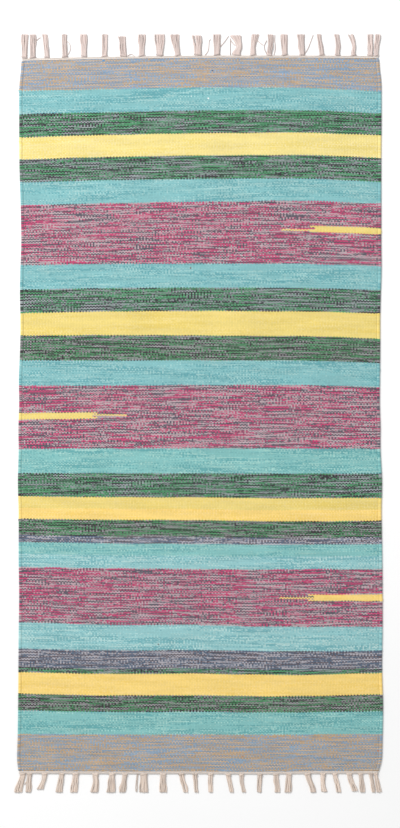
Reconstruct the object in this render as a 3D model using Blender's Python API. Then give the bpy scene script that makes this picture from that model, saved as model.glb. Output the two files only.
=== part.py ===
"""Flat-woven kilim rug, lying flat, with a tasselled fringe at each end.

The rug is three solids: the woven field with its corded selvedges, and at each end a comb, which is
the pale heading band with its tassels. X runs across the rug and +Y towards the head end. The origin
is on the floor under the middle of the whole rug. Lengths are in millimetres until a mesh is made.
"""
from collections import namedtuple

import bmesh
import bpy

METRES_PER_MM = 0.001

# Driving dimensions
CLOTH_THICKNESS = 3.0
HEADING_THICKNESS = 3.4
HEADING_DEPTH = 5.5        # from the last coloured weft to the roots of the tassels
GAP = 0.3                  # clearance between the field and a heading
FRINGE_REACH = 731.0       # from the middle of the rug to the tips of the tassels
FIELD_SEGMENTS = 62        # strips of the field, from foot to head
FIELD_COLUMNS = 12         # strips of the field, between its two selvedges

# The outline, which wanders as the loom left it: the two sides at distances along the rug ...
Side = namedtuple("Side", "along left right")
SIDES = (
    Side(-695, -347.0, 346.0),
    Side(-672, -350.0, 352.5),
    Side(-625, -349.0, 354.5),
    Side(-560, -348.0, 355.5),
    Side(-490, -347.5, 353.5),
    Side(-420, -347.0, 354.5),
    Side(-350, -346.0, 354.5),
    Side(-280, -347.0, 354.0),
    Side(-190, -347.0, 352.5),
    Side(-130, -348.5, 353.5),
    Side(-70, -347.0, 350.5),
    Side(-25, -347.5, 350.5),
    Side(20, -346.0, 349.0),
    Side(70, -346.5, 349.5),
    Side(135, -344.0, 350.0),
    Side(185, -343.5, 350.0),
    Side(230, -344.5, 351.0),
    Side(275, -344.0, 352.5),
    Side(330, -342.0, 352.0),
    Side(400, -343.0, 352.0),
    Side(480, -345.5, 352.0),
    Side(575, -346.0, 352.5),
    Side(640, -345.5, 352.0),
    Side(670, -342.5, 348.5),
    Side(695, -341.0, 347.0),
)

# ... and the two end lines, where the coloured weft stops, at distances across it.
End = namedtuple("End", "across head foot")
ENDS = (
    End(-350, 679.0, -689.5),
    End(-245, 681.5, -690.0),
    End(-130, 683.5, -690.3),
    End(-15, 685.0, -690.0),
    End(100, 685.3, -690.8),
    End(215, 685.2, -690.0),
    End(355, 684.0, -689.5),
)

# Section through a selvedge: a cord of bundled warps, flat where it rests.
Selvedge = namedtuple("Selvedge", "inset underside top")
SELVEDGE = (
    Selvedge(0.0, 1.3, 2.7),
    Selvedge(0.6, 0.5, 3.4),
    Selvedge(1.5, 0.0, 3.8),
    Selvedge(3.0, 0.0, 4.0),
    Selvedge(4.5, 0.0, 3.8),
    Selvedge(6.0, 0.0, CLOTH_THICKNESS),
)

# The tassels of each fringe from left to right: distances across the rug, and widths.
Tassel = namedtuple("Tassel", "root tip root_width tip_width")
HEAD_TASSELS = (
    Tassel(-336, -336, 9, 13),
    Tassel(-320, -320, 10, 11),
    Tassel(-292, -297, 8, 12),
    Tassel(-258, -259, 9, 11),
    Tassel(-221, -222, 9, 15),
    Tassel(-182, -181, 9, 14),
    Tassel(-145, -148, 12, 14),
    Tassel(-110, -110, 9, 15),
    Tassel(-75, -75, 10, 20),
    Tassel(-40, -46, 8, 16),
    Tassel(-1, -4, 12, 19),
    Tassel(35, 35, 10, 15),
    Tassel(73, 71, 13, 22),
    Tassel(104, 109, 9, 13),
    Tassel(136, 138, 9, 11),
    Tassel(166, 164, 9, 13),
    Tassel(200, 196, 8, 15),
    Tassel(238, 232, 8, 10),
    Tassel(268, 265, 8, 11),
    Tassel(299, 294, 8, 9),
    Tassel(331, 331, 9, 13),
    Tassel(342, 346, 7, 10),
)
FOOT_TASSELS = (
    Tassel(-338, -349, 9, 14),
    Tassel(-326, -329, 8, 10),
    Tassel(-296, -306, 8, 15),
    Tassel(-264, -269, 8, 14),
    Tassel(-237, -241, 10, 14),
    Tassel(-199, -202, 9, 16),
    Tassel(-167, -169, 9, 15),
    Tassel(-142, -148, 8, 14),
    Tassel(-106, -105, 12, 15),
    Tassel(-69, -68, 10, 13),
    Tassel(-34, -25, 10, 9),
    Tassel(-8, -4, 9, 9),
    Tassel(23, 23, 9, 9),
    Tassel(56, 64, 9, 9),
    Tassel(82, 87, 8, 9),
    Tassel(118, 117, 9, 9),
    Tassel(149, 151, 9, 10),
    Tassel(174, 172, 9, 13),
    Tassel(209, 221, 10, 13),
    Tassel(239, 243, 8, 12),
    Tassel(262, 270, 8, 10),
    Tassel(289, 302, 9, 10),
    Tassel(312, 316, 7, 10),
    Tassel(331, 338, 7, 8),
    Tassel(341, 348, 6, 9),
)

# A tassel's sections from root to tip: a small knot, then loose yarns that settle and spread.
Station = namedtuple("Station", "fraction swell height")
STATIONS = (
    Station(0.10, 1.15, 5.6),
    Station(0.30, 0.95, 4.8),
    Station(0.65, 1.00, 4.4),
    Station(1.00, 1.00, 3.6),
)

# One section of a tassel, anticlockwise from the lower left, in parts of its width and height.
TASSEL_SECTION = ((-0.42, 0.0), (0.0, 0.0), (0.42, 0.0), (0.50, 0.6), (0.0, 1.0), (-0.50, 0.6))


def clear_scene():
    for thing in list(bpy.data.objects):
        bpy.data.objects.remove(thing, do_unlink=True)


def mix(start, end, fraction):
    return start + (end - start) * fraction


def curve(rows, at, column):
    """Smooth curve through a table's rows, whose first column is the position along it."""
    last = len(rows) - 1
    index = max(i for i in range(last) if i == 0 or rows[i][0] <= at)
    before, start, end, after = (rows[min(max(index + step, 0), last)] for step in (-1, 0, 1, 2))
    span = end[0] - start[0]
    fraction = (at - start[0]) / span
    value, target = getattr(start, column), getattr(end, column)
    leave = (target - getattr(before, column)) / (end[0] - before[0]) * span
    arrive = (getattr(after, column) - value) / (after[0] - start[0]) * span
    square, cube = fraction**2, fraction**3
    return (
        value * (2 * cube - 3 * square + 1)
        + leave * (cube - 2 * square + fraction)
        + target * (3 * square - 2 * cube)
        + arrive * (cube - square)
    )


def make_object(name, corners, faces, colour, roughness):
    """Closed solid with outward faces and its own material, from corners in millimetres."""
    body = bmesh.new()
    points = [body.verts.new([METRES_PER_MM * length for length in corner]) for corner in corners]
    for face in faces:
        body.faces.new([points[index] for index in face])
    bmesh.ops.recalc_face_normals(body, faces=body.faces)
    mesh = bpy.data.meshes.new(name)
    body.to_mesh(mesh)
    body.free()
    material = bpy.data.materials.new(name)
    material.use_nodes = True
    shader = material.node_tree.nodes["Principled BSDF"]
    shader.inputs["Base Color"].default_value = (*colour, 1.0)
    shader.inputs["Roughness"].default_value = roughness
    shader.inputs["Metallic"].default_value = 0.0
    mesh.materials.append(material)
    made = bpy.data.objects.new(name, mesh)
    bpy.context.scene.collection.objects.link(made)
    return made


def field_section(along):
    """Columns of the field at one distance along it: across, underside and top."""
    left, right = curve(SIDES, along, "left"), curve(SIDES, along, "right")
    inner = SELVEDGE[-1].inset
    columns = [(left + row.inset, row.underside, row.top) for row in SELVEDGE]
    for step in range(1, FIELD_COLUMNS):
        across = mix(left + inner, right - inner, step / FIELD_COLUMNS)
        columns.append((across, 0.0, CLOTH_THICKNESS))
    columns += [(right - row.inset, row.underside, row.top) for row in reversed(SELVEDGE)]
    return columns


def woven_field():
    corners, faces = [], []
    foot, head = ENDS[len(ENDS) // 2].foot, ENDS[len(ENDS) // 2].head
    for segment in range(FIELD_SEGMENTS + 1):
        fraction = segment / FIELD_SEGMENTS
        for across, underside, top in field_section(mix(foot, head, fraction)):
            along = mix(curve(ENDS, across, "foot"), curve(ENDS, across, "head"), fraction)
            corners += [(across, along, underside), (across, along, top)]
    ring = len(corners) // (FIELD_SEGMENTS + 1)
    for start in range(0, FIELD_SEGMENTS * ring, ring):
        for low in range(start, start + ring - 2, 2):
            faces.append((low, low + 2, low + ring + 2, low + ring))
            faces.append((low + 1, low + ring + 1, low + ring + 3, low + 3))
        for low in (start, start + ring - 2):
            faces.append((low, low + 1, low + ring + 1, low + ring))
    for start in (0, FIELD_SEGMENTS * ring):
        for low in range(start, start + ring - 2, 2):
            faces.append((low, low + 1, low + 3, low + 2))
    return make_object("woven_field", corners, faces, (0.25, 0.42, 0.38), 0.9)


def fringe(name, end, side, tassels, left, right):
    """Comb of one end: the heading band from left to right, with the tassels growing out of it."""
    roots = [
        tassel.root + offset * tassel.root_width
        for tassel in tassels
        for offset in (-0.5, 0.0, 0.5)
    ]
    corners, faces = [], []
    for across in (left, *roots, right):
        inner = curve(ENDS, across, end) + side * GAP
        outer = inner + side * HEADING_DEPTH
        corners += [(across, inner, 0.0), (across, inner, HEADING_THICKNESS)]
        corners += [(across, outer, HEADING_THICKNESS), (across, outer, 0.0)]
    cells = len(roots) + 1
    for cell in range(cells):
        near, far = 4 * cell, 4 * cell + 4
        faces.append((near, near + 1, far + 1, far))
        faces.append((near + 1, near + 2, far + 2, far + 1))
        faces.append((near + 3, near, far, far + 3))
        if cell % 3 == 0:
            faces.append((near + 2, near + 3, far + 3, far + 2))
    faces += [(0, 1, 2, 3), tuple(4 * cells + index for index in range(4))]
    for number, tassel in enumerate(tassels):
        low = 4 * (3 * number + 1)
        ring = [low + 3, low + 7, low + 11, low + 10, low + 6, low + 2]
        base = corners[low + 7][1]
        for station in STATIONS:
            centre = mix(tassel.root, tassel.tip, station.fraction)
            width = station.swell * mix(tassel.root_width, tassel.tip_width, station.fraction)
            along = mix(base, side * FRINGE_REACH, station.fraction)
            wider = range(len(corners), len(corners) + len(TASSEL_SECTION))
            corners += [(centre + x * width, along, z * station.height) for x, z in TASSEL_SECTION]
            for index in range(len(ring)):
                after = (index + 1) % len(ring)
                faces.append((ring[index], ring[after], wider[after], wider[index]))
            ring = list(wider)
        faces.append(tuple(ring))
    return make_object(name, corners, faces, (0.71, 0.58, 0.48), 0.85)


clear_scene()
woven_field()
fringe("head_fringe", "head", 1, HEAD_TASSELS, -341.0, 346.5)
fringe("foot_fringe", "foot", -1, FOOT_TASSELS, -345.0, 344.5)
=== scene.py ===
# %% [markdown]
# # A kilim rug, laid flat
#
# A kilim is a flat-woven rug. It has no pile: coloured wefts are beaten down so tightly that they
# hide the warps, and the face shows nothing but small weft floats set like bricks. This one has
# broad stripes of turquoise, mottled green, yellow and mottled pink between two grey ends, three
# small yellow darts, a corded selvedge down each side, and its warps knotted into tassels.
#
# The solids that carry the rug in the simulator are loaded first. They stay as they are, and every
# piece below is placed from them.

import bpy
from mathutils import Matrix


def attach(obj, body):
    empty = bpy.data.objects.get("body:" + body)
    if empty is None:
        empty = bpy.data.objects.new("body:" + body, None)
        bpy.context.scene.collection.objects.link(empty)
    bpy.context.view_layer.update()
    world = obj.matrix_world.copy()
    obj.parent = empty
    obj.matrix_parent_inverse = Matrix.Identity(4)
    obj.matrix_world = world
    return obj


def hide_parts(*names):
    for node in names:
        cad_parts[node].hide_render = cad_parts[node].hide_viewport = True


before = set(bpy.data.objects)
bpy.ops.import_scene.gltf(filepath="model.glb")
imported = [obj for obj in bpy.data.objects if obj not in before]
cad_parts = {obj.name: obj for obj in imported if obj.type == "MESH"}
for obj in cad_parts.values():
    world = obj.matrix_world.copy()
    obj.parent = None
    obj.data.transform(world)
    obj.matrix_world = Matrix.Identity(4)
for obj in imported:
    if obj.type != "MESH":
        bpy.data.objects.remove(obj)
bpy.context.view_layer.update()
print("solids:", sorted(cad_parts))

# %% Libraries and units
import math
from bisect import bisect_right
from collections import namedtuple
from statistics import NormalDist

import bpy
from mathutils import Vector, noise

MM = 0.001        # the shop works in millimetres, the scene in metres
HEAD, FOOT = 1, -1   # the two ends of the rug: +Y and -Y


def mix(start, end, share):
    return start + (end - start) * share


# %% [markdown]
# ## Reading the outline from the solids
#
# No hand-woven edge is straight: the two sides wander by a few millimetres and the end lines bow.
# The solids have that outline already, so it is read from their corners instead of being measured
# again. A smooth curve through the corners gives the edge at any place between them.

# %% A smooth curve through measured points
def through(points, at):
    """Value at a position, on the smooth curve through (position, value) pairs in order."""
    last = len(points) - 1
    index = min(max(bisect_right(points, (at, math.inf)) - 1, 0), last - 1)
    (p0, v0), (p1, v1) = points[max(index - 1, 0)], points[index]
    (p2, v2), (p3, v3) = points[index + 1], points[min(index + 2, last)]
    span = p2 - p1
    share = min(max((at - p1) / span, 0.0), 1.0)
    leave, arrive = (v2 - v0) / (p2 - p0) * span, (v3 - v1) / (p3 - p1) * span
    square, cube = share**2, share**3
    return (
        v1 * (2 * cube - 3 * square + 1)
        + leave * (cube - 2 * square + share)
        + v2 * (3 * square - 2 * cube)
        + arrive * (cube - square)
    )


# %% Corners of the woven field's solid
def corners(node):
    """The different corners of a solid, in millimetres."""
    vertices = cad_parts[node].data.vertices
    return sorted({tuple(round(length / MM, 2) for length in v.co) for v in vertices})


RIM_HEIGHTS = (1.2, 2.8)          # only the outermost corners of the two sides lie between these
HEAD_FROM, FOOT_FROM = 672, -680  # only the corners of the end lines lie past these
field = corners("woven_field")
rim = [(x, y) for x, y, z in field if RIM_HEIGHTS[0] < z < RIM_HEIGHTS[1]]
left_edge = sorted({(y, x) for x, y in rim if x < 0})
right_edge = sorted({(y, x) for x, y in rim if x > 0})
head_line = sorted({(x, y) for x, y, z in field if y > HEAD_FROM})
foot_line = sorted({(x, y) for x, y, z in field if y < FOOT_FROM})
print("corners on the left, right, head and foot:",
      [len(line) for line in (left_edge, right_edge, head_line, foot_line)])

# %% Size of the straight plan on the loom
def average(line):
    """Average of the second values of a line of corners."""
    return sum(value for _, value in line) / len(line)


LOOM_WIDTH = average(right_edge) - average(left_edge)
HEAD_LEVEL, FOOT_LEVEL = average(head_line), average(foot_line)
print(f"the cloth is {LOOM_WIDTH:.1f} by {HEAD_LEVEL - FOOT_LEVEL:.1f} mm")

# %% [markdown]
# ## From the loom to the floor
#
# On the loom the wefts are straight lines and the stripes are rectangles. Off the loom the cloth
# relaxes: each stripe bows and slants by a few millimetres. The rug is therefore drawn twice. The
# pattern is laid out on the straight plan of the loom, and one function says where each point of
# that plan lies on the floor. The table holds how far the wefts stray towards the head end.

# %% How far the wefts stray, in millimetres
Stray = namedtuple("Stray", "along left mid_left middle mid_right right")
STRAYS = (
    Stray(-690, 0.0, 0.0, 0.0, 0.0, 0.0),
    Stray(-615, 1.0, 0.0, 0.0, 0.0, 0.0),
    Stray(-540, 3.0, 0.0, -0.5, -2.0, 1.0),
    Stray(-455, 4.0, 0.5, 0.5, -2.0, -1.0),
    Stray(-405, 6.5, 2.5, 0.0, -3.0, -3.5),
    Stray(-300, 5.0, 1.5, -1.0, -1.5, -1.0),
    Stray(-205, 5.0, 2.0, 0.0, -2.0, -1.0),
    Stray(-70, 1.5, 1.0, 0.0, 0.0, -1.0),
    Stray(-5, 2.4, 2.8, 1.8, 0.3, -1.0),
    Stray(60, 2.5, 1.0, 0.5, 0.5, -3.0),
    Stray(150, 3.5, 3.0, 0.5, -1.0, -5.0),
    Stray(195, 0.5, 1.5, 1.0, 0.0, -3.5),
    Stray(290, 1.5, 1.5, 0.5, 0.0, -3.5),
    Stray(405, -1.0, 0.0, 1.0, 2.5, -2.0),
    Stray(450, -1.0, 0.5, 1.0, 1.5, -4.0),
    Stray(540, -2.0, -0.5, 1.0, 2.0, -1.5),
    Stray(625, 1.0, 0.5, 1.5, 0.5, -5.0),
    Stray(684, 0.0, 0.0, 0.0, 0.0, 0.0),
)
STRAY_PLACES = (-345, -200, 0, 200, 345)      # across the rug, one for each column after the first


# %% Where a point of the plan lies on the floor
def strays_at(along):
    """The five strays of one weft, each with its place across the rug."""
    columns = range(1, len(STRAY_PLACES) + 1)
    values = [through([(row[0], row[column]) for row in STRAYS], along) for column in columns]
    return list(zip(STRAY_PLACES, values))


def on_floor(across, along, strays):
    """Place on the floor of a point of the plan: across the rug and along it."""
    share = (along - FOOT_LEVEL) / (HEAD_LEVEL - FOOT_LEVEL)
    y = mix(through(foot_line, across), through(head_line, across), share)
    y += through(strays, across)
    x = mix(through(left_edge, y), through(right_edge, y), across / LOOM_WIDTH + 0.5)
    return x, y


print("a corner of the plan lies at", on_floor(LOOM_WIDTH / 2, HEAD_LEVEL, strays_at(HEAD_LEVEL)))

# %% [markdown]
# ## The woven cloth
#
# The cloth is 3 mm thick and lies flat, so it starts as a grid that is given its thickness with a
# Solidify modifier. The weave itself is far too fine for the grid and comes from the material, but
# a real cloth is never a sheet of glass: its top rises and falls by a few tenths of a millimetre,
# and it dips beside the selvedge cords. The grid is closer there. The UV map "loom" keeps each
# point's place on the straight plan, in metres, so that the pattern can follow the wefts.

# %% Sizes of the cloth and its grid
CLOTH_THICKNESS = 3.0
CORD_INSET = 3.0                  # of the middle of a selvedge cord, from the edge
VALLEY_INSET = 6.2                # of the dip where the cloth meets that cord
EDGE_INSETS = (CORD_INSET, 4.6, 5.6, 6.4, 7.4, 9.0, 12.0)  # columns of the grid beside a cord
COLUMNS, ROWS = 110, 296


def column_place(column):
    """Place across the plan of one line of the grid, counted from the left."""
    edge = len(EDGE_INSETS) - 1
    mirrored = COLUMNS - column
    if column <= edge:
        return EDGE_INSETS[column] - LOOM_WIDTH / 2
    if mirrored <= edge:
        return LOOM_WIDTH / 2 - EDGE_INSETS[mirrored]
    inner = LOOM_WIDTH / 2 - EDGE_INSETS[edge]
    return mix(-inner, inner, (column - edge) / (COLUMNS - 2 * edge))


print(f"the middle columns are {column_place(51) - column_place(50):.1f} mm apart")

# %% Add the grid and give it its thickness
bpy.ops.object.select_all(action="DESELECT")
bpy.ops.mesh.primitive_grid_add(x_subdivisions=COLUMNS, y_subdivisions=ROWS, size=1.0)
cloth = bpy.context.object
cloth.name = cloth.data.name = "woven_cloth"
cloth.data.uv_layers[0].name = "loom"
plan = [
    (column_place(round((v.co.x + 0.5) * COLUMNS)), mix(FOOT_LEVEL, HEAD_LEVEL, v.co.y + 0.5))
    for v in cloth.data.vertices
]
loom = cloth.data.uv_layers["loom"].uv
for corner in cloth.data.loops:
    across, along = plan[corner.vertex_index]
    loom[corner.index].vector = (across * MM, along * MM)
for vertex in cloth.data.vertices:
    vertex.co.z = 0.5
thickness = cloth.modifiers.new("thickness", "SOLIDIFY")
thickness.thickness = 0.5
thickness.offset = -1.0
bpy.ops.object.modifier_apply(modifier=thickness.name)
print("corners of the cloth:", len(cloth.data.vertices))


# %% Height of the cloth's top
BROAD_SWELL, ROW_SWELL = 0.30, 0.22         # of the slow hills, and of the rows of wefts
VALLEY_DEPTH, VALLEY_SLOPE = 0.4, 1.4


def cloth_top(across, along):
    """Height in millimetres: soft unevenness, rows of wefts, and the dip beside a cord."""
    broad = noise.noise(Vector((across / 90, along / 70, 4.0))) * BROAD_SWELL
    rows = noise.noise(Vector((across / 160, along / 7, 9.0))) * ROW_SWELL
    from_valley = (LOOM_WIDTH / 2 - abs(across) - VALLEY_INSET) / VALLEY_SLOPE
    return CLOTH_THICKNESS + broad + rows - VALLEY_DEPTH * math.exp(-from_valley**2)


print(f"the cloth is {cloth_top(0, 0):.2f} mm thick in the middle")

# %% Lay the grid out on the floor
lines = {}
for number, vertex in enumerate(cloth.data.vertices):
    across, along = plan[number % len(plan)]
    if along not in lines:
        lines[along] = strays_at(along)
    x, y = on_floor(across, along, lines[along])
    top = number < len(plan)
    vertex.co = (x * MM, y * MM, cloth_top(across, along) * MM if top else 0.0)
cloth.data.update()
bpy.ops.object.shade_smooth_by_angle(angle=math.radians(50))
print(f"the cloth is up to {max(v.co.z for v in cloth.data.vertices) / MM:.2f} mm thick")

# %% [markdown]
# ## Cords and yarns
#
# Everything else on the rug is a cord: the two selvedges, the cream heading cords and the yarns of
# the tassels. A cord is a section carried along a path. One helper does that for all of them. It
# takes rings of points, joins each ring to the next, and closes both ends. Each ring carries one UV
# value along the cord, and each of its points one around it.

# %% A piece made of many cords
class Cords:
    """Corners, faces and UV values of cords, gathered until they are made into one mesh."""

    def __init__(self):
        self.corners, self.faces, self.values = [], [], []

    def add(self, rings, around, along):
        """Joins rings of equally many points. around has one value more than a ring has points.

        Seen along the path a ring runs anticlockwise, so faces in this order point outwards.
        """
        first, points = len(self.corners), len(rings[0])
        for ring in rings:
            self.corners += [(x * MM, y * MM, max(z, 0.0) * MM) for x, y, z in ring]
        for step in range(len(rings) - 1):
            low = first + step * points
            for index in range(points):
                after = (index + 1) % points
                self.faces.append((low + index, low + points + index,
                                   low + points + after, low + after))
                self.values += [(around[index + right], along[step + up])
                                for right, up in ((0, 0), (0, 1), (1, 1), (1, 0))]
        last = first + (len(rings) - 1) * points
        self.faces.append(tuple(range(first, first + points)))
        self.values += [(around[index], along[0]) for index in range(points)]
        self.faces.append(tuple(range(last + points - 1, last - 1, -1)))
        self.values += [(around[index], along[-1]) for index in range(points - 1, -1, -1)]

    def piece(self, name, uv_name):
        mesh = bpy.data.meshes.new(name)
        mesh.from_pydata(self.corners, [], self.faces)
        uv = mesh.uv_layers.new(name=uv_name).uv
        for index, value in enumerate(self.values):
            uv[index].vector = value
        for face in mesh.polygons:
            face.use_smooth = len(face.vertices) == 4
        made = bpy.data.objects.new(name, mesh)
        bpy.context.scene.collection.objects.link(made)
        triangles = sum(len(face.vertices) - 2 for face in mesh.polygons)
        print(f"{name}: {triangles} triangles")
        return made


# %% A ring around a point of a path
def ring_at(centre, heading, half_width, half_height, points, twist=0.0, lobes=0.0):
    """Ring round a centre, square to the heading. lobes draws it in between two twisted plies."""
    forward = heading.normalized()
    sideways = forward.cross(Vector((0, 0, 1))).normalized()
    upward = sideways.cross(forward)
    ring = []
    for index in range(points):
        angle = 2 * math.pi * index / points
        swell = 1 + lobes * math.cos(2 * (angle - twist))
        across = sideways * (half_width * swell * math.cos(angle))
        ring.append(centre + across + upward * (half_height * swell * math.sin(angle)))
    return ring


# %% [markdown]
# ## Selvedges
#
# At each side the weft turns round a bundle of warps. That makes a firm cord, 6 mm wide and 4 mm
# thick, with the wraps of weft showing as small ribs. Where the weaver changed to a new colour the
# old end was tucked in, and a few of those places bulge. The cords carry the same "loom" map as the
# cloth, kept to one warp, so that the stripes run on round the edge.

# %% Sizes of the weave
WARP = 3.0        # from one warp to the next
PICK = 1.33       # from one weft to the next: a warp shows every other one
CORD_HALF_WIDTH, CORD_HALF_HEIGHT = 3.1, 2.0
CORD_POINTS = 10
CORD_END = 0.2    # of a cord, from the end line of the cloth
WRAP_RINGS = 4    # rings of the mesh in each wrap of weft
WRAP_FOOT, WRAP_SWELL, WRAP_CHANCE = 0.90, 0.12, 0.07     # size between wraps, and what they add
print(f"{(HEAD_LEVEL - FOOT_LEVEL) / (2 * PICK):.0f} wraps of weft to a cord")

# %% Places where an old end was tucked in
Tuck = namedtuple("Tuck", "side along bulge")
TUCKS = (Tuck(-1, 625, 1.6), Tuck(-1, 530, 0.9), Tuck(-1, -210, 0.8), Tuck(1, 352, 0.8),
         Tuck(1, 87, 0.7), Tuck(1, -357, 0.9), Tuck(1, -455, 0.6))
TUCK_REACH = 2.4                     # how far a bulge spreads along the cord
TUCK_PUSH, TUCK_WIDTH = 0.7, 0.5     # shares of a bulge that move and widen the cord
print(len(TUCKS), "tucked ends")


# %% Wind the selvedge cords
def selvedge(name, side):
    plan_x = side * (LOOM_WIDTH / 2 - CORD_INSET)
    warp_middle = (math.floor(plan_x / WARP) + 0.5) * WARP
    odd = math.floor(plan_x / WARP) % 2
    first = math.ceil((FOOT_LEVEL / PICK + odd) / 2)
    wraps = math.floor((HEAD_LEVEL / PICK + odd) / 2) - first
    levels = [(2 * (first + step / WRAP_RINGS) - odd) * PICK
              for step in range(wraps * WRAP_RINGS + 1)]
    levels = [FOOT_LEVEL + CORD_END, *levels, HEAD_LEVEL - CORD_END]
    tucks = [tuck for tuck in TUCKS if tuck.side == side]
    rings = []
    for along in levels:
        x, y = on_floor(plan_x, along, strays_at(along))
        wrap = math.sin(math.pi * ((along / PICK + odd) / 2 % 1))
        chance = noise.noise(Vector((side * 5, along / 2.1, 0)))
        swell = WRAP_FOOT + WRAP_SWELL * wrap + WRAP_CHANCE * chance
        bulge = sum(t.bulge * math.exp(-(((along - t.along) / TUCK_REACH) ** 2)) for t in tucks)
        centre = Vector((x + side * bulge * TUCK_PUSH, y, CORD_HALF_HEIGHT))
        rings.append(ring_at(centre, Vector((0, 1, 0)),
                             CORD_HALF_WIDTH * swell + bulge * TUCK_WIDTH,
                             CORD_HALF_HEIGHT * swell, CORD_POINTS))
    # The map spans most of one float round the cord, so the weave's painted gap shade also darkens
    # its two flanks.
    around = [warp_middle + 0.4 * WARP * math.cos(2 * math.pi * index / CORD_POINTS)
              for index in range(CORD_POINTS + 1)]
    cords = Cords()
    cords.add(rings, [value * MM for value in around], [along * MM for along in levels])
    return cords.piece(name, "loom")


left_selvedge = selvedge("left_selvedge", -1)
right_selvedge = selvedge("right_selvedge", 1)

# %% [markdown]
# ## Heading cords
#
# The coloured weft stops a few millimetres before the warps are knotted. A pair of undyed cords is
# twined across the warps there, so that the last weft can't work loose. The two are twisted in
# opposite directions, which makes them look like a flat chain.

# %% From where to where a heading runs
END_LEVEL = 690                   # where the width of an end is read, from the middle of the rug
HEADING_INSET = 1.5               # of the heading's ends, from the sides of the rug


def heading_ends(end):
    return (through(left_edge, end * END_LEVEL) + HEADING_INSET,
            through(right_edge, end * END_LEVEL) - HEADING_INSET)


print("the two headings run from and to:", heading_ends(HEAD), heading_ends(FOOT))

# %% Twine the heading cords
HEADING_GAP = 0.3                 # between the end of the cloth and the heading
HEADING_CORDS = (1.2, 3.5)        # middles of the two cords, out from that gap
HEADING_HALF_WIDTH, HEADING_HALF_HEIGHT = 1.25, 1.5
HEADING_LOBES = 0.17              # how far each cord draws in between its two plies
HEADING_PITCH = 6.4               # one full turn of the two plies
HEADING_STEP = 0.8
HEADING_WANDER, HEADING_SWELL = 0.35, 0.10     # what chance does to its place and its size
HEADING_CLEARANCE = 0.1           # under the heading
YARN_POINTS = 8


def heading(name, end, end_line):
    cords = Cords()
    low, high = heading_ends(end)
    steps = round((high - low) / HEADING_STEP)
    for number, offset in enumerate(HEADING_CORDS):
        turn = (1, -1)[number] * 2 * math.pi / HEADING_PITCH
        rings = []
        for step in range(steps + 1):
            x = mix(low, high, step / steps)
            y = through(end_line, x) + end * (HEADING_GAP + offset)
            y += HEADING_WANDER * noise.noise(Vector((x / 9, end * 3 + number, 0)))
            swell = 1 + HEADING_SWELL * noise.noise(Vector((x / 5, end * 7 + number, 3)))
            centre = Vector((x, y, HEADING_HALF_HEIGHT + HEADING_CLEARANCE))
            rings.append(ring_at(centre, Vector((1, 0, 0)), HEADING_HALF_WIDTH * swell,
                                 HEADING_HALF_HEIGHT * swell, YARN_POINTS, turn * x,
                                 HEADING_LOBES))
        around = [number + index / YARN_POINTS for index in range(YARN_POINTS + 1)]
        cords.add(rings, around, [mix(low, high, step / steps) * MM for step in range(steps + 1)])
    return cords.piece(name, "yarn")


head_heading = heading("head_heading", HEAD, head_line)
foot_heading = heading("foot_heading", FOOT, foot_line)

# %% [markdown]
# ## Tassels
#
# Each tassel gathers five to fifteen warps, yarns of two plies twisted together. They leave the
# heading side by side, lean in to a small knot, and lie loose from there to the cut ends. The
# solids give each tassel's knot, tip and widths. A yarn follows a smooth path through the points
# of its tassel: two layers of yarns, the upper ones lying in the hollows of the lower ones. Most
# tassels lie nearly straight. A table names those that lie in a bow or were cut short.

# %% Read the tassels from the comb solids
Tassel = namedtuple("Tassel", "knot_x knot_y knot_width tip_x tip_y tip_width")
KNOT_TOP, TIP_TOP = 5.6, 3.6      # heights of the ridge of a solid tassel at its knot and its tip
SHOULDER = 0.6                    # the widest line of its section, as a share of that height
Y_NEAR, Z_NEAR = 0.02, 0.05       # how close a corner lies to the place that is looked for


def half_width(points, x, y, top):
    """Half the width of a solid tassel, from the corners at its shoulders."""
    level = [p for p in points
             if abs(p[1] - y) < Y_NEAR and abs(p[2] - SHOULDER * top) < Z_NEAR]
    return min(abs(p[0] - x) for p in level)


def tassels(node):
    points = corners(node)
    knots = [p for p in points if abs(p[2] - KNOT_TOP) < Z_NEAR]
    reach = max(abs(p[1]) for p in points)
    tips = [p for p in points
            if abs(abs(p[1]) - reach) < Y_NEAR and abs(p[2] - TIP_TOP) < Z_NEAR]
    return [
        Tassel(knot[0], knot[1], 2 * half_width(points, knot[0], knot[1], KNOT_TOP),
               tip[0], tip[1], 2 * half_width(points, tip[0], tip[1], TIP_TOP))
        for knot, tip in zip(knots, tips)
    ]


head_places, foot_places = tassels("head_fringe"), tassels("foot_fringe")
print(len(head_places), "tassels at the head,", len(foot_places), "at the foot")

# %% One yarn along a path
YARN_RADIUS = 1.2
YARN_LOBES = 0.20                 # how far a yarn draws in between its two plies
YARN_PITCH = 7.0                  # one full turn of the two plies
RING_STEP = 1.3
CUT_END, CUT_TAPER = 1.0, 0.8     # length of a cut end, and how thick it still is


def smooth_path(points, step):
    """Points at about equal steps along the smooth curve through the given ones."""
    lengths = [0.0]
    for start, end in zip(points, points[1:]):
        lengths.append(lengths[-1] + (end - start).length)
    curves = [[(at, p[axis]) for at, p in zip(lengths, points)] for axis in range(3)]
    count = max(2, round(lengths[-1] / step))
    places = [lengths[-1] * number / count for number in range(count + 1)]
    return [Vector([through(curve, at) for curve in curves]) for at in places], places


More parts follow.
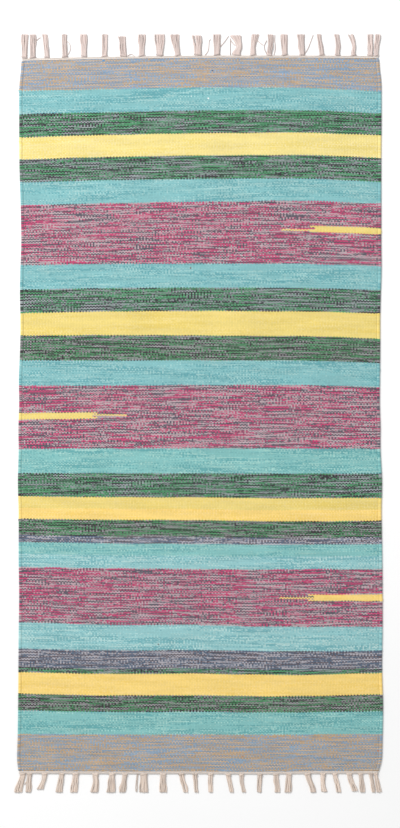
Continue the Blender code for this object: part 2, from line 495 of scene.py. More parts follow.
def add_yarn(cords, number, points, radius=YARN_RADIUS, lobes=YARN_LOBES, sides=YARN_POINTS):
    path, places = smooth_path(points, RING_STEP)
    rings = []
    for index, (centre, at) in enumerate(zip(path, places)):
        forward = path[min(index + 1, len(path) - 1)] - path[max(index - 1, 0)]
        taper = 1.0 if places[-1] - at > CUT_END else CUT_TAPER
        rings.append(ring_at(centre, forward, radius * taper, radius * taper, sides,
                             2 * math.pi * (at + 1.7 * number) / YARN_PITCH, lobes))
    around = [number + 0.98 * index / sides for index in range(sides + 1)]
    cords.add(rings, around, [at * MM for at in places])


# %% Gather the yarns of one tassel
YARN_SPACING = 2.6                # between yarns that lie side by side in a tassel
KNOT_SET_BACK = 3.0               # of a knot from the ridge of its solid, towards the heading
LAYER_RISE = 1.9                  # of the upper yarns above the lower ones
TIP_RISE = LAYER_RISE * 0.55      # the same at the tips, where they have settled
HEADING_REACH = 4.8               # outer side of the heading, from the end of the cloth
GATHER = 6.0                      # how far from its knot a tassel draws its warps together
PARTING = 2.2                     # at most, between the two locks of a tassel and its middle
TIP_PROUD = 0.2                   # how far the longest yarns reach past the solid
KNOT_STRAND, LOOSE_STRAND = 900, 1000     # strand numbers of the knots and the loose ends

# How a tassel bows to the right and how wide it is half way, as a share of its usual width, and by
# how much it was cut short. The tables hold only the unusual ones, counted from the left.
Habit = namedtuple("Habit", "bow waist short", defaults=(0.0, 1.0, 0.0))
HEAD_HABITS = {7: Habit(0.5, 0.9, 4.0), 11: Habit(1.0, 0.9, 2.0), 13: Habit(6.0, 0.6, 2.0),
               14: Habit(-1.5, 0.8), 15: Habit(1.5, 0.9), 19: Habit(2.0, 1.1),
               20: Habit(3.0, 0.9)}
FOOT_HABITS = {3: Habit(1.5, 0.8, 6.0), 6: Habit(1.5, 0.9), 15: Habit(-1.0, 0.9),
               20: Habit(-1.5, 1.0, 1.0), 22: Habit(-0.5, 0.9, 2.0)}


def wobble(a, b, size):
    """Chance for one yarn, the same each time, from minus this size to plus it."""
    return size * noise.noise(Vector((a * 1.37 + 0.31, b * 2.13 + 0.17, 0.5)))


def add_tassel(cords, tassel, habit, low, high, end, base, number):
    """The yarns of a tassel that gathers the warps from low to high across the rug."""
    below = max(3, round(tassel.tip_width / YARN_SPACING))
    count = 2 * below - 1
    low, high = max(low, tassel.knot_x - GATHER), min(high, tassel.knot_x + GATHER)
    knot_room, tip_room = tassel.knot_width - 2 * YARN_RADIUS, tassel.tip_width - 2 * YARN_RADIUS
    parting = PARTING * abs(wobble(number, 9 * end, 1.0))
    for index in range(count):
        upper = index % 2
        place = (index + 0.5) / count
        seed = number * 20 + index
        lock = round(place * 2) - 1
        start_x = mix(low, high, place)
        knot_x = tassel.knot_x + (place - 0.5) * knot_room
        tip_x = tassel.tip_x + (place - 0.5) * tip_room + wobble(seed, 1, 2.0)
        tip_x += lock * parting
        z = YARN_RADIUS + upper * LAYER_RISE
        tip_z = YARN_RADIUS + upper * TIP_RISE
        knot_y = tassel.knot_y - end * KNOT_SET_BACK
        tip_y = tassel.tip_y - end * (abs(wobble(seed, 2, 1.6)) - TIP_PROUD + habit.short)
        run = tip_y - knot_y
        lean = tip_x - knot_x
        bend = habit.bow + (habit.waist - 1) * (place - 0.5) * tassel.tip_width
        points = [                # inside the heading, past it, at the knot, and on to the tip
            Vector((start_x, base(start_x) - end * 1.3, 1.5)),
            Vector((mix(start_x, knot_x, 0.15), base(start_x) + end * 0.2, 1.5 + 0.6 * upper)),
            Vector((mix(start_x, knot_x, 0.80), base(start_x) + end * 0.7, z + 0.2)),
            Vector((knot_x, knot_y, z + 0.4)),
            Vector((knot_x + 0.06 * lean, knot_y + 0.10 * run, z + 0.3)),
            Vector((knot_x + 0.38 * lean + bend + wobble(seed, 3, 1.8), knot_y + 0.40 * run, z)),
            Vector((knot_x + 0.74 * lean + 0.7 * bend + wobble(seed, 4, 2.2),
                    knot_y + 0.72 * run, mix(z, tip_z, 0.6))),
            Vector((tip_x, tip_y, tip_z)),
        ]
        add_yarn(cords, seed, points)
    return count


# %% Tie the knot of one tassel
KNOT_TURNS = 1.6
KNOT_RADIUS, KNOT_LOBES, KNOT_SIDES = 1.05, 0.15, 6
KNOT_STEPS = 18
KNOT_ADVANCE = 1.6                # how far the winding moves along the tassel
KNOT_SLANT = 1.1                  # how far one side of a turn lies ahead of the other
KNOT_BITE = 0.5                   # how deep the winding sinks into the sides of the tassel
KNOT_MIDDLE, KNOT_RISE = 2.7, 2.0     # height of the winding's middle, and its top above that


def add_knot(cords, tassel, end, number):
    """A yarn wound round the tassel just outside the heading."""
    points = []
    slant = KNOT_SLANT if number % 2 else -KNOT_SLANT
    for step in range(KNOT_STEPS + 1):
        share = step / KNOT_STEPS
        angle = 2 * math.pi * KNOT_TURNS * share + 0.9 * number
        x = tassel.knot_x + (tassel.knot_width / 2 - KNOT_BITE) * math.cos(angle)
        out = KNOT_ADVANCE * (share - 0.5) + slant * math.cos(angle) - KNOT_SET_BACK - 0.4
        y = tassel.knot_y + end * out
        z = max(KNOT_RADIUS, KNOT_MIDDLE + KNOT_RISE * math.sin(angle))
        points.append(Vector((x, y, z)))
    add_yarn(cords, KNOT_STRAND + number, points, KNOT_RADIUS, KNOT_LOBES, KNOT_SIDES)


# %% [markdown]
# A few ends always escape the knots. Each is a single ply, thinner than a yarn, that curls over the
# floor beside its tassel. The table names the tassel it escaped from, counted from the left, and
# the points that it passes: across from the knot, and out from the heading.

# %% Loose ends
Loose = namedtuple("Loose", "tassel points")
HEAD_LOOSE = (
    Loose(2, ((4, -1), (4.5, 8), (4.2, 16))),
    Loose(2, ((4.5, 42), (6, 35), (8, 35), (11, 38), (15, 40))),
    Loose(4, ((2, 3), (7, 8), (11, 18), (8.5, 27), (4, 32))),
    Loose(7, ((7, -0.5), (11, 3.4), (17, 4), (22, 0.5))),
    Loose(11, ((13, 0), (19, 9), (21, 20), (21.5, 29), (25, 31.5))),
    Loose(12, ((7, 17), (15, 27), (23, 38))),
    Loose(13, ((-11.5, 1), (-12, 16), (-11.5, 33))),
    Loose(13, ((-12.5, 32), (-8, 25), (-2, 19))),
    Loose(14, ((9, 29), (13, 25), (20, 20))),
    Loose(15, ((-4, 2), (-8.5, 10), (-9.5, 19), (-5, 29))),
    Loose(15, ((9, 1), (11.5, 14), (10.5, 28), (10.5, 40))),
    Loose(16, ((5, 1), (1.5, 9), (-0.5, 22), (-1.5, 36))),
    Loose(17, ((4, 2), (11, 14), (16, 26), (21, 40))),
)
FOOT_LOOSE = (
    Loose(9, ((-13, 1), (-14, 12), (-15.5, 26), (-15, 35))),
    Loose(9, ((-11, 1), (-12.5, 12), (-12.5, 26), (-13.5, 35))),
    Loose(1, ((9, 3), (8, 14), (3, 22))),
)
PLY_RADIUS, PLY_SIDES = 0.7, 5
PLY_HOP = 0.7                     # how far every other point of a ply lifts off the floor


def add_loose(cords, ends, places, end, base):
    for number, loose in enumerate(ends):
        knot = places[loose.tassel - 1]
        points = []
        for step, (across, out) in enumerate(loose.points):
            x = knot.knot_x + across
            z = PLY_RADIUS + PLY_HOP * (step % 2)
            points.append(Vector((x, base(x) + end * out, z)))
        add_yarn(cords, LOOSE_STRAND + number, points, PLY_RADIUS, 0.0, PLY_SIDES)


# %% Make the two rows of tassels
def fringe(name, end, end_line, places, habits, loose):
    def base(x):
        return through(end_line, x) + end * HEADING_REACH

    cords = Cords()
    low, high = heading_ends(end)
    middles = [(a.knot_x + b.knot_x) / 2 for a, b in zip(places, places[1:])]
    shares = zip([low, *middles], [*middles, high])
    yarns = 0
    for number, (tassel, (start, stop)) in enumerate(zip(places, shares)):
        habit = habits.get(number + 1, Habit())
        yarns += add_tassel(cords, tassel, habit, start, stop, end, base, number)
        add_knot(cords, tassel, end, number)
    add_loose(cords, loose, places, end, base)
    print(name, "has", yarns, "yarns")
    return cords.piece(name, "yarn")


head_tassels = fringe("head_tassels", HEAD, head_line, head_places, HEAD_HABITS, HEAD_LOOSE)
foot_tassels = fringe("foot_tassels", FOOT, foot_line, foot_places, FOOT_HABITS, FOOT_LOOSE)

# %% [markdown]
# ## Shader maths in Python
#
# A procedural weave is arithmetic: which warp, which weft, how far across the float. Written as a
# node tree by hand that is hundreds of boxes. A small class wraps a node's output, and Python's
# own operators add the Math nodes. Every other node comes from one method.

# %% A wire of the node tree
class Wire:
    """An output of a node. Arithmetic on it adds Math nodes to the same tree."""

    def __init__(self, tree, socket=None):
        self.tree, self.socket = tree, socket

    def node(self, kind, settings=None, inputs=None, output=0):
        """Adds a node: its settings first, then values or wires for its inputs."""
        made = self.tree.nodes.new(kind)
        for name, value in (settings or {}).items():
            if name == "stops":
                fill_ramp(made.color_ramp, value)
            else:
                setattr(made, name, value)
        for key, value in (inputs or {}).items():
            if isinstance(value, Wire):
                self.tree.links.new(value.socket, made.inputs[key])
            else:
                made.inputs[key].default_value = value
        return Wire(self.tree, made.outputs[output] if len(made.outputs) else None)

    def out(self, key):
        return Wire(self.tree, self.socket.node.outputs[key])

    def math(self, operation, *values):
        return self.node("ShaderNodeMath", {"operation": operation}, dict(enumerate(values)))

    def __add__(self, other):
        return self.math("ADD", self, other)

    def __sub__(self, other):
        return self.math("SUBTRACT", self, other)

    def __rsub__(self, other):
        return self.math("SUBTRACT", other, self)

    def __mul__(self, other):
        return self.math("MULTIPLY", self, other)

    def __truediv__(self, other):
        return self.math("DIVIDE", self, other)

    def __mod__(self, other):
        return self.math("FLOORED_MODULO", self, other)

    def __pow__(self, other):
        return self.math("POWER", self, other)

    def __lt__(self, other):
        return self.math("LESS_THAN", self, other)

    def __gt__(self, other):
        return self.math("GREATER_THAN", self, other)

    def __abs__(self):
        return self.math("ABSOLUTE", self)

    def __floor__(self):
        return self.math("FLOOR", self)

    __radd__ = __add__
    __rmul__ = __mul__


def fill_ramp(ramp, stops):
    """Gives a colour ramp its stops, each held until the next one."""
    ramp.interpolation = "CONSTANT"
    while len(ramp.elements) > 1:
        ramp.elements.remove(ramp.elements[-1])
    for number, (position, colour) in enumerate(stops):
        element = ramp.elements[0] if number == 0 else ramp.elements.new(position)
        element.position, element.color = position, colour


# %% Helpers for the nodes that come up again and again
def rise(value, low, high):
    """0 below low, 1 above high and a smooth step between."""
    return value.node("ShaderNodeMapRange", {"interpolation_type": "SMOOTHSTEP"},
                      {"Value": value, "From Min": low, "From Max": high})


def noise_at(x, y, detail=0.0):
    """Noise from 0 to 1 on a plane, one unit to a hill. A number added to x or y only moves the
    pattern, so that two noises don't rise and fall together."""
    place = x.node("ShaderNodeCombineXYZ", inputs={"X": x, "Y": y})
    return x.node("ShaderNodeTexNoise", {"noise_dimensions": "2D"},
                  {"Vector": place, "Scale": 1.0, "Detail": detail})


def blend(share, first, second):
    """The first colour where share is 0, the second where it is 1."""
    return share.node("ShaderNodeMix", {"data_type": "RGBA"}, {0: share, 6: first, 7: second},
                      output=2)


def vary(value, amount):
    """Factor round 1 that changes by this amount in all, as value goes from 0 to 1."""
    return 1 + (value - 0.5) * amount


def brighten(colour, factor):
    return colour.node("ShaderNodeVectorMath", {"operation": "SCALE"},
                       {0: colour, "Scale": factor})


def linear(red, green, blue):
    """A colour given in screen values, 0 to 255, as the linear colour that a shader needs."""
    return tuple(
        c / 12.92 if c <= 0.04045 else ((c + 0.055) / 1.055) ** 2.4
        for c in (red / 255, green / 255, blue / 255)
    ) + (1.0,)


def new_material(name):
    """A material with an empty node tree, and a wire to build the tree from."""
    material = bpy.data.materials.new(name)
    material.use_nodes = True
    material.node_tree.nodes.clear()
    return material, Wire(material.node_tree)


def on_map(start, uv_map):
    """The two values of a UV map."""
    place = start.node("ShaderNodeSeparateXYZ", None,
                       {0: start.node("ShaderNodeUVMap", {"uv_map": uv_map})})
    return place, place.out("Y")


def finish_material(start, colour, roughness, normal, sheen):
    """Ends a tree in a matt cloth shader. Sheen is the same all over, so it is a plain value."""
    shader = start.node("ShaderNodeBsdfPrincipled", None, {
        "Base Color": colour, "Roughness": roughness, "Normal": normal,
        "Specular IOR Level": 0.2, "Sheen Weight": sheen, "Sheen Roughness": 0.6})
    start.node("ShaderNodeOutputMaterial", None, {"Surface": shader})


# %% [markdown]
# ## The yarns and the stripes
#
# Most of the wefts are not one colour. They are spun from plies of different colours, so that each
# weft shows one ply for a few centimetres and then another: that gives the pink stripes their
# flecks of charcoal and beige. Two bobbins take turns, two wefts each, so the plies also alternate
# in fine lines. A yarn is therefore three colours, how often each shows, and how strong these
# effects are in it. The stripes are listed from the head end to the foot, with their lengths along
# the rug. Some have more or less of the light ply than their yarn has elsewhere, and some come from
# another dye lot: a little deeper, warmer or paler.

# %% The yarns
Yarn = namedtuple("Yarn", "main dark light dark_share light_share turns patches depth")
# dark_share: how much of the weft shows the dark ply. light_share: of the rest, how much is light.
# turns: how much the plies take turns, two wefts each. patches: how much the shares drift.
# depth: how much lighter and darker the strands are than each other.
YARNS = {
    "grey": Yarn((190, 165, 138), (144, 167, 192), (168, 165, 161), 0.44, 0.20, 0.70, 0.04, 1.0),
    "turquoise": Yarn((136, 193, 196), (105, 171, 178), (163, 206, 205),
                      0.24, 0.28, 0.30, 0.30, 0.4),
    "green": Yarn((79, 144, 102), (62, 59, 64), (141, 147, 150), 0.34, 0.45, 0.75, 0.02, 1.8),
    "yellow": Yarn((245, 226, 147), (242, 220, 128), (247, 229, 162), 0.2, 0.25, 0.30, 0.30, 0.1),
    "pink": Yarn((201, 68, 115), (94, 91, 103), (186, 167, 172), 0.37, 0.58, 0.75, 0.02, 0.9),
    "navy": Yarn((94, 112, 134), (104, 94, 102), (178, 175, 183), 0.30, 0.50, 0.75, 0.02, 0.9),
}

# %% The stripes
EVEN = (1.0, 1.0, 1.0)            # a dye lot: how much stronger it is in red, green and blue
DEEP, WARM = (0.97, 0.93, 0.78), (1.09, 0.95, 0.78)
PALE, DUSTY = (1.28, 1.13, 1.12), (1.03, 1.01, 0.97)
SMOKY, DULL, MINTY = (1.02, 0.91, 0.90), (0.92, 0.92, 0.91), (1.0, 1.04, 0.98)
Stripe = namedtuple("Stripe", "yarn length more_light dye", defaults=(0.0, EVEN))
STRIPES = (
    Stripe("grey", 58.8),
    Stripe("turquoise", 43.6),
    Stripe("green", 44.2, -0.10),
    Stripe("yellow", 42.8),
    Stripe("green", 44.7, 0.09),
    Stripe("turquoise", 43.8),
    Stripe("pink", 118.4),
    Stripe("turquoise", 46.9),
    Stripe("green", 45.5, 0.06),
    Stripe("yellow", 47.2, dye=DEEP),
    Stripe("green", 47.8, dye=SMOKY),
    Stripe("turquoise", 47.6),
    Stripe("pink", 121.1),
    Stripe("turquoise", 47.4, dye=MINTY),
    Stripe("green", 47.4),
    Stripe("yellow", 21.8, dye=DEEP),
    Stripe("yellow", 21.8, dye=WARM),
    Stripe("green", 32.0, dye=SMOKY),
    Stripe("navy", 13.7),
    Stripe("turquoise", 22.5, dye=MINTY),
    Stripe("turquoise", 24.4, dye=PALE),
    Stripe("pink", 109.7),
    Stripe("turquoise", 48.2, dye=PALE),
    Stripe("navy", 36.1, dye=DULL),
    Stripe("green", 8.7),
    Stripe("yellow", 41.6, dye=WARM),
    Stripe("green", 32.2, dye=SMOKY),
    Stripe("turquoise", 43.6, dye=MINTY),
    Stripe("grey", 71.0, dye=DUSTY),
)
SLOTS = 32        # a ramp of held stops is read exactly at the middles of 32 equal slots
print(f"{len(STRIPES)} stripes, together {sum(stripe.length for stripe in STRIPES):.1f} mm long")

# %% [markdown]
# The yellow darts are a short yellow weft laid in from one selvedge inside a pink stripe. Each is
# nine wefts high: the outer ones end in two short tips, the next ones end a little sooner, and the
# middle pair runs on alone as a thin line.

# %% Darts and small flecks
Dart = namedtuple("Dart", "side along bar tips line line_weft stripe")
# line_weft: middle of its thin line, in wefts from the middle. stripe: the one whose yarn it has.
DARTS = (
    Dart(1, 352.0, 128, 138, 193, -1.5, 9),
    Dart(-1, -7.0, 142.5, 152, 209, 0.5, 9),
    Dart(1, -354.0, 132, 143, 198, -0.5, 16),
)
DART_HALF, TIPS_FROM, LINE_HALF = 4.5, 2.5, 0.6     # in wefts, from its middle or its line's
Fleck = namedtuple("Fleck", "across along half_length half_width colour")
FLECKS = (
    Fleck(15, 604, 1.6, 1.6, (245, 245, 242)),       # lint
    Fleck(-17, 608, 1.3, 1.2, (215, 232, 230)),
    Fleck(-189, 680, 3.0, 1.8, (95, 150, 195)),      # a thick place in the blue weft
    Fleck(23, 657, 1.8, 1.3, (72, 78, 110)),
    Fleck(-20, 278, 1.6, 1.4, (120, 84, 70)),
    Fleck(-81, -446, 1.5, 1.4, (110, 110, 112)),
    Fleck(341, -651, 2.4, 1.5, (196, 132, 92)),
    Fleck(82, -661, 1.8, 1.3, (190, 136, 100)),
)
print(len(DARTS), "darts and", len(FLECKS), "flecks")

# %% [markdown]
# ## The weave
#
# The material finds the warp from the place across the loom and the weft from the place along it.
# Neighbouring warps show alternate wefts, so every second column of floats is shifted by one weft,
# like bricks. The number of the weft says which stripe it belongs to, and noise along the weft says
# which of its plies shows. Each float is a small dome, with painted shade in the gaps round it.

# %% Find the float
WARP_WANDER, WEFT_WANDER = 2.4, 1.5       # how far the threads wander sideways
HELD_INSETS = (8.0, 30.0)                 # held still up to the first, free past the second
STRAND_SLANT = 0.3                        # of a float's two strands, from the twist of the yarn
kilim_weave, start = new_material("kilim_weave")
plan_across, plan_along = (metres / MM for metres in on_map(start, "loom"))
inset = LOOM_WIDTH / 2 - abs(plan_across)
free = rise(inset, *HELD_INSETS)
across = plan_across + free * (noise_at(plan_across / 60, plan_along / 200) - 0.5) * WARP_WANDER
along = plan_along + free * (noise_at(plan_across / 55 + 31, plan_along / 16) - 0.5) * WEFT_WANDER
column = math.floor(across / WARP)
odd = column % 2
float_across = across / WARP - column - 0.5
float_level = (along / PICK + odd) / 2
row = math.floor(float_level)
float_along = float_level - row - 0.5
pick = row * 2 - odd
strand_level = (float_along + float_across * STRAND_SLANT + 0.5) * 2
strand = rise(strand_level, 0.9, 1.1)
pick_along = (pick + 1) * PICK
float_middle = (column + 0.5) * WARP
second = math.floor(strand + 0.5)         # 1 on the second strand of a float, 0 on the first
dice = start.node("ShaderNodeTexWhiteNoise", {"noise_dimensions": "2D"}, {
    "Vector": start.node("ShaderNodeCombineXYZ", None, {"X": column, "Y": pick})},
    output=1)
chance = start.node("ShaderNodeSeparateColor", None, {0: dice})
dome = ((1 - (float_across * 2) ** 4) * (1 - (float_along * 2) ** 2)) ** 0.5
print(f"{LOOM_WIDTH / WARP:.0f} warps and {(HEAD_LEVEL - FOOT_LEVEL) / PICK:.0f} wefts")

# %% Find the stripe, or the dart
ends, level_now = [], HEAD_LEVEL
scale = (HEAD_LEVEL - FOOT_LEVEL) / sum(stripe.length for stripe in STRIPES)
for stripe in STRIPES[:-1]:
    level_now -= stripe.length * scale
    ends.append(level_now)
stripe_number = sum(pick_along < stripe_end for stripe_end in ends)
for dart in DARTS:
    weft = math.floor((pick_along - dart.along) / PICK + 0.5)
    outer, middle = abs(weft) > TIPS_FROM, abs(weft - dart.line_weft) < LINE_HALF
    reach = dart.bar + middle * (dart.line - dart.bar) + outer * (dart.tips - dart.bar)
    from_side = LOOM_WIDTH / 2 - plan_across * dart.side
    inside = (abs(weft) < DART_HALF) * (from_side < reach)
    stripe_number = stripe_number + inside * (dart.stripe - stripe_number)
print(f"the stripes are stretched by {100 * (scale - 1):.1f} percent to fill the cloth")


# %% Look the yarn up
def lookup(values):
    """Ramp with one held colour for each stripe, read at the stripe's number."""
    stops = [(index / SLOTS, value) for index, value in enumerate(values)]
    return start.node("ShaderNodeValToRGB", {"stops": stops},
                      {"Fac": (stripe_number + 0.5) / SLOTS})


STREAKS, CHANCE = 0.7, 0.15                # weights of the slow noise and of pure chance
SPREADS = (0.105, 0.289, 0.113)            # how widely slow noise, chance and turns are spread


def limit(share, yarn):
    """The value that the summed noise stays below on this share of the weft."""
    weights = (STREAKS, CHANCE, yarn.turns)
    return NormalDist(0.5, math.hypot(*(a * b for a, b in zip(SPREADS, weights)))).inv_cdf(share)


of_stripe = [YARNS[stripe.yarn] for stripe in STRIPES]
main_ply, dark_ply, light_ply = (
    lookup([linear(*getattr(yarn, ply)) for yarn in of_stripe])
    for ply in ("main", "dark", "light"))
play = lookup([
    (limit(yarn.dark_share, yarn), limit(1 - yarn.light_share - stripe.more_light, yarn),
     yarn.turns, yarn.patches)
    for yarn, stripe in zip(of_stripe, STRIPES)
])
patches = play.out("Alpha")
dark_limit = start.node("ShaderNodeSeparateColor", None, {0: play})
light_limit, turning = dark_limit.out("Green"), dark_limit.out("Blue")
dye = lookup([(*(c / 2 for c in stripe.dye), yarn.depth / 2)
              for yarn, stripe in zip(of_stripe, STRIPES)])
print("yarns in use:", sorted({stripe.yarn for stripe in STRIPES}))

# %% Choose the ply that shows
STREAK = 92.0      # one hill of the slow noise along a weft
LANE = 5.8         # from one weft's lane in the noise to the next
STRAND_LANE, STRIPE_LANE = 0.45, 7.3     # the same between the strands of a weft, and stripes
EDGE = 0.02        # softness of a change from one ply to the next
TURN_ACROSS, TURN_ALONG = 60, 6.5        # one hill of the noise that fades the turns in and out
lane = pick * LANE + second * STRAND_LANE + stripe_number * STRIPE_LANE
slow = (noise_at(across / 160, along / 13 + 12) - 0.5) * patches
turns = start.math("SINE", (pick + 0.5) * (math.pi / 2)) * turning
dark_turn = turns * (noise_at(across / TURN_ACROSS + 9, along / TURN_ALONG + 40) - 0.5)
light_turn = turns * (noise_at(across / TURN_ACROSS + 63, along / TURN_ALONG + 71) - 0.5)


def streaks(across_shift, lane_shift):
    """The slow noise along the wefts, round one half."""
    place = float_middle / STREAK + across_shift
    return noise_at(place, lane + lane_shift, 2.0) * STREAKS + 0.5 - STREAKS / 2


dark_noise = streaks(11.7, 0.0) + slow + (chance - 0.5) * CHANCE + dark_turn
light_noise = streaks(57.1, 3.9) - slow + (chance.out("Green") - 0.5) * CHANCE + light_turn
dark = 1 - rise(dark_noise, dark_limit - EDGE, dark_limit + EDGE)
light = rise(light_noise, light_limit - EDGE, light_limit + EDGE)
colour = blend(dark, blend(light, main_ply, light_ply), dark_ply)
colour = start.node("ShaderNodeVectorMath", {"operation": "MULTIPLY"}, {0: colour, 1: dye})
print("nodes that choose the colour:", len(kilim_weave.node_tree.nodes))

# %% Shade the floats, with painted shade in their gaps and in the dip beside each cord
# Painted shade: the gaps between floats are darkened down to this share of their colour.
GAP_PAINTED_SHADE = 0.72                  # of the gaps between floats
# Painted shade darkens the dip where the cloth meets a selvedge cord.
VALLEY_PAINTED_SHADE = 0.08              # how much darker the dip beside a selvedge cord is
FIBRE_TONE, PATCH_TONE, FLOAT_TONE, STRAND_TONE = 0.16, 0.13, 0.05, 0.6
fibre = noise_at(across / 1.4 + along * 0.4, along / 0.35, 2.0)
# Where the painted shade of the dip beside each cord lies.
valley = 1 - rise(abs(inset - VALLEY_INSET), 0.4, 1.7)
# Painted shade in the gaps round each float, times the fibres' own tone.
tone = (GAP_PAINTED_SHADE + (1 - GAP_PAINTED_SHADE) * rise(dome, 0.0, 0.8)) * vary(fibre, FIBRE_TONE)
tone = tone * (1 - valley * VALLEY_PAINTED_SHADE)
tone = tone * vary(noise_at(across / 80 + 5, along / 14), PATCH_TONE)
depth = dye.out("Alpha") * 2
strand_tone = (noise_at(float_middle / 30 + 83, lane * 1.3, 1.0) - 0.5) * STRAND_TONE + dark_turn
tone = tone * (1 + strand_tone * depth)
tone = tone * vary(chance.out("Blue"), FLOAT_TONE * (1 + depth))
colour = brighten(colour, tone * 2)
for fleck in FLECKS:
    far = ((across - fleck.across) / fleck.half_length) ** 2 + (
        (along - fleck.along) / fleck.half_width) ** 2
    colour = blend(1 - rise(far, 0.6, 1.3), colour, linear(*fleck.colour))

# %% Bump and shader
FLOAT_HEIGHT = 0.7 * MM
STRAND_GROOVE, FIBRE_HEIGHT = 0.25, 0.12     # as shares of that height
WEAVE_SHEEN = 0.12
ridge = abs(strand_level % 1 - 0.5) * 2
height = dome * (0.95 - ridge * STRAND_GROOVE) + fibre * FIBRE_HEIGHT
normal = start.node("ShaderNodeBump", None,
                    {"Strength": 1.0, "Distance": FLOAT_HEIGHT, "Height": height})
finish_material(start, colour, 0.85 + fibre * 0.1, normal, WEAVE_SHEEN)
print("nodes in the weave:", len(kilim_weave.node_tree.nodes))

# %% [markdown]
# ## The undyed yarn
#
# Heading and tassels are the undyed warp cotton, a pinkish cream. Each yarn is a little lighter or
# darker than its neighbours, fine fibres run at a slant along the twist, the knots are darkened
# with painted shade, and the loose plies are a little darker too. The foot fringe is a warmer cream
# than the head one, and lighter, which is painted light; the heading cords are the palest, so the
# same recipe makes three materials.

# %% Cotton yarn
# The knots are darkened as painted shade at each tassel's root; the loose plies are darkened as
# well.
KNOT_SHADE_AND_LOOSE_DARKENING = 0.11                   # how much darker the knots and the loose plies are
DARKEST, OWN_TONE, MOTTLE_TONE, HAIR_TONE = 0.72, 0.34, 0.2, 0.3     # what makes up the tone
HAIR_HEIGHT, COTTON_SHEEN = 0.25 * MM, 0.15


def cotton(name, light, shade):
    """An undyed yarn that changes slowly between two creams."""
    material, start = new_material(name)
    around, along = on_map(start, "yarn")
    along = along / MM
    strand = math.floor(around)
    turn = around - strand
    own = start.node("ShaderNodeTexWhiteNoise", {"noise_dimensions": "1D"}, {"W": strand})
    mottle = noise_at(along / 9 + strand * 3.7, turn * 1.5)
    hairs = noise_at(along / 1.2 + turn * 6, turn * 22 - along * 0.9 + strand, 2.0)
    tone = DARKEST + own * OWN_TONE + mottle * MOTTLE_TONE + (hairs - 0.5) * HAIR_TONE
    # Painted shade on the knots, and a darker tone on the loose plies.
    tone = tone * (1 - (strand > KNOT_STRAND - 1) * KNOT_SHADE_AND_LOOSE_DARKENING)
    colour = brighten(blend(mottle, linear(*light), linear(*shade)), tone)
    normal = start.node("ShaderNodeBump", None,
                        {"Strength": 0.8, "Distance": HAIR_HEIGHT, "Height": hairs})
    finish_material(start, colour, 0.86 + hairs * 0.1, normal, COTTON_SHEEN)
    return material


head_yarn = cotton("head_yarn", (218, 203, 198), (208, 190, 183))
# The foot fringe's cream is warmer, its own colour, and lighter, which is painted light.
warm_foot_yarn_painted_lighter = cotton("warm_foot_yarn_painted_lighter", (230, 215, 204), (220, 202, 187))
heading_yarn = cotton("heading_yarn", (230, 222, 216), (224, 212, 202))
print("cotton:", [material.name for material in (head_yarn, warm_foot_yarn_painted_lighter, heading_yarn)])

# %% [markdown]
# ## Putting the pieces on the rug
#
# Each piece gets its material, rides on the rug's one body, and stands for the solid whose place it
# takes.

# %% Materials and bodies
PIECES = (
    (cloth, kilim_weave, "woven_field"),
    (left_selvedge, kilim_weave, "woven_field"),
    (right_selvedge, kilim_weave, "woven_field"),
    (head_heading, heading_yarn, "head_fringe"),
    (head_tassels, head_yarn, "head_fringe"),
    (foot_heading, heading_yarn, "foot_fringe"),
    (foot_tassels, warm_foot_yarn_painted_lighter, "foot_fringe"),
)
for piece, material, node in PIECES:
    piece.data.materials.append(material)
    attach(piece, "root")
    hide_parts(node)
    "kilim_weave" if node == "woven_field" else "fringe_yarn"
print("pieces:", [piece.name for piece, *_ in PIECES])

# %% [markdown]
# ## Floor, light and camera
#
# The rug lies on a plain pale floor. A large soft lamp stands high at the upper left, and a white
# sky fills the shadows, so the stripes keep their colours and each tassel throws a faint shadow to
# its right. The camera looks straight down from four metres.

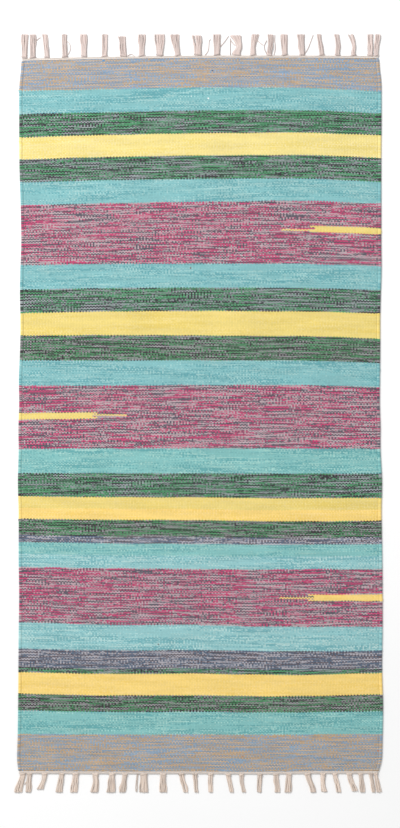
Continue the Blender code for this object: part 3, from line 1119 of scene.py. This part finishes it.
# %% Floor
FLOOR_WIDTH, FLOOR_DROP = 16, 0.4 * MM     # it lies just under the rug
bpy.ops.object.select_all(action="DESELECT")
bpy.ops.mesh.primitive_plane_add(size=FLOOR_WIDTH, location=(0, 0, -FLOOR_DROP))
floor = bpy.context.object
floor.name = "floor"
floor_finish, start = new_material("pale_floor")
spot = start.node("ShaderNodeSeparateXYZ", None,
                  {0: start.node("ShaderNodeTexCoord", output="Object")})
shade = 0.92 + 0.02 * noise_at(spot * 3, spot.out("Y") * 3, 3.0)
finish_material(start, start.node("ShaderNodeCombineXYZ", None, {0: shade, 1: shade, 2: shade}),
                0.8, start.node("ShaderNodeBump", None, {"Height": shade, "Distance": 0.0001}), 0.0)
floor.data.materials.append(floor_finish)
print("the floor is", floor.dimensions.x, "m wide")

# %% Light
SKY_STRENGTH, LAMP_POWER = 0.62, 150       # the second is in watts
LAMP_PLACE, LAMP_WIDTH = (-2.1, 2.1, 3.3), 1.6
world = bpy.data.worlds.new("soft_sky")
world.use_nodes = True
sky = world.node_tree.nodes["Background"]
sky.inputs["Color"].default_value = (1.0, 1.0, 1.0, 1.0)
sky.inputs["Strength"].default_value = SKY_STRENGTH
bpy.context.scene.world = world
bpy.ops.object.light_add(type="AREA", location=LAMP_PLACE)
lamp = bpy.context.object
lamp.name = "soft_lamp"
lamp.data.shape = "DISK"
lamp.data.size = LAMP_WIDTH
lamp.data.energy = LAMP_POWER
lamp.rotation_euler = (-lamp.location).to_track_quat("-Z", "Y").to_euler()
lamp.visible_camera = False
print("the lamp is", round(lamp.location.length, 2), "m from the rug")

# %% Camera
VIEW_HEIGHT = 1.5964             # of floor that the frame takes in, from top to bottom
VIEW_MIDDLE = (0.0027, -0.00135)  # the place on the floor that the camera looks down on
CAMERA_HEIGHT = 4.0
view = bpy.data.cameras.new("overhead")
view.sensor_width = 36.0
view.lens = view.sensor_width * CAMERA_HEIGHT / VIEW_HEIGHT
camera = bpy.data.objects.new("overhead", view)
camera.location = (*VIEW_MIDDLE, CAMERA_HEIGHT + CLOTH_THICKNESS * MM)
bpy.context.scene.collection.objects.link(camera)
bpy.context.scene.camera = camera
bpy.context.scene.view_settings.view_transform = "Standard"
print(f"focal length {view.lens:.1f} mm")
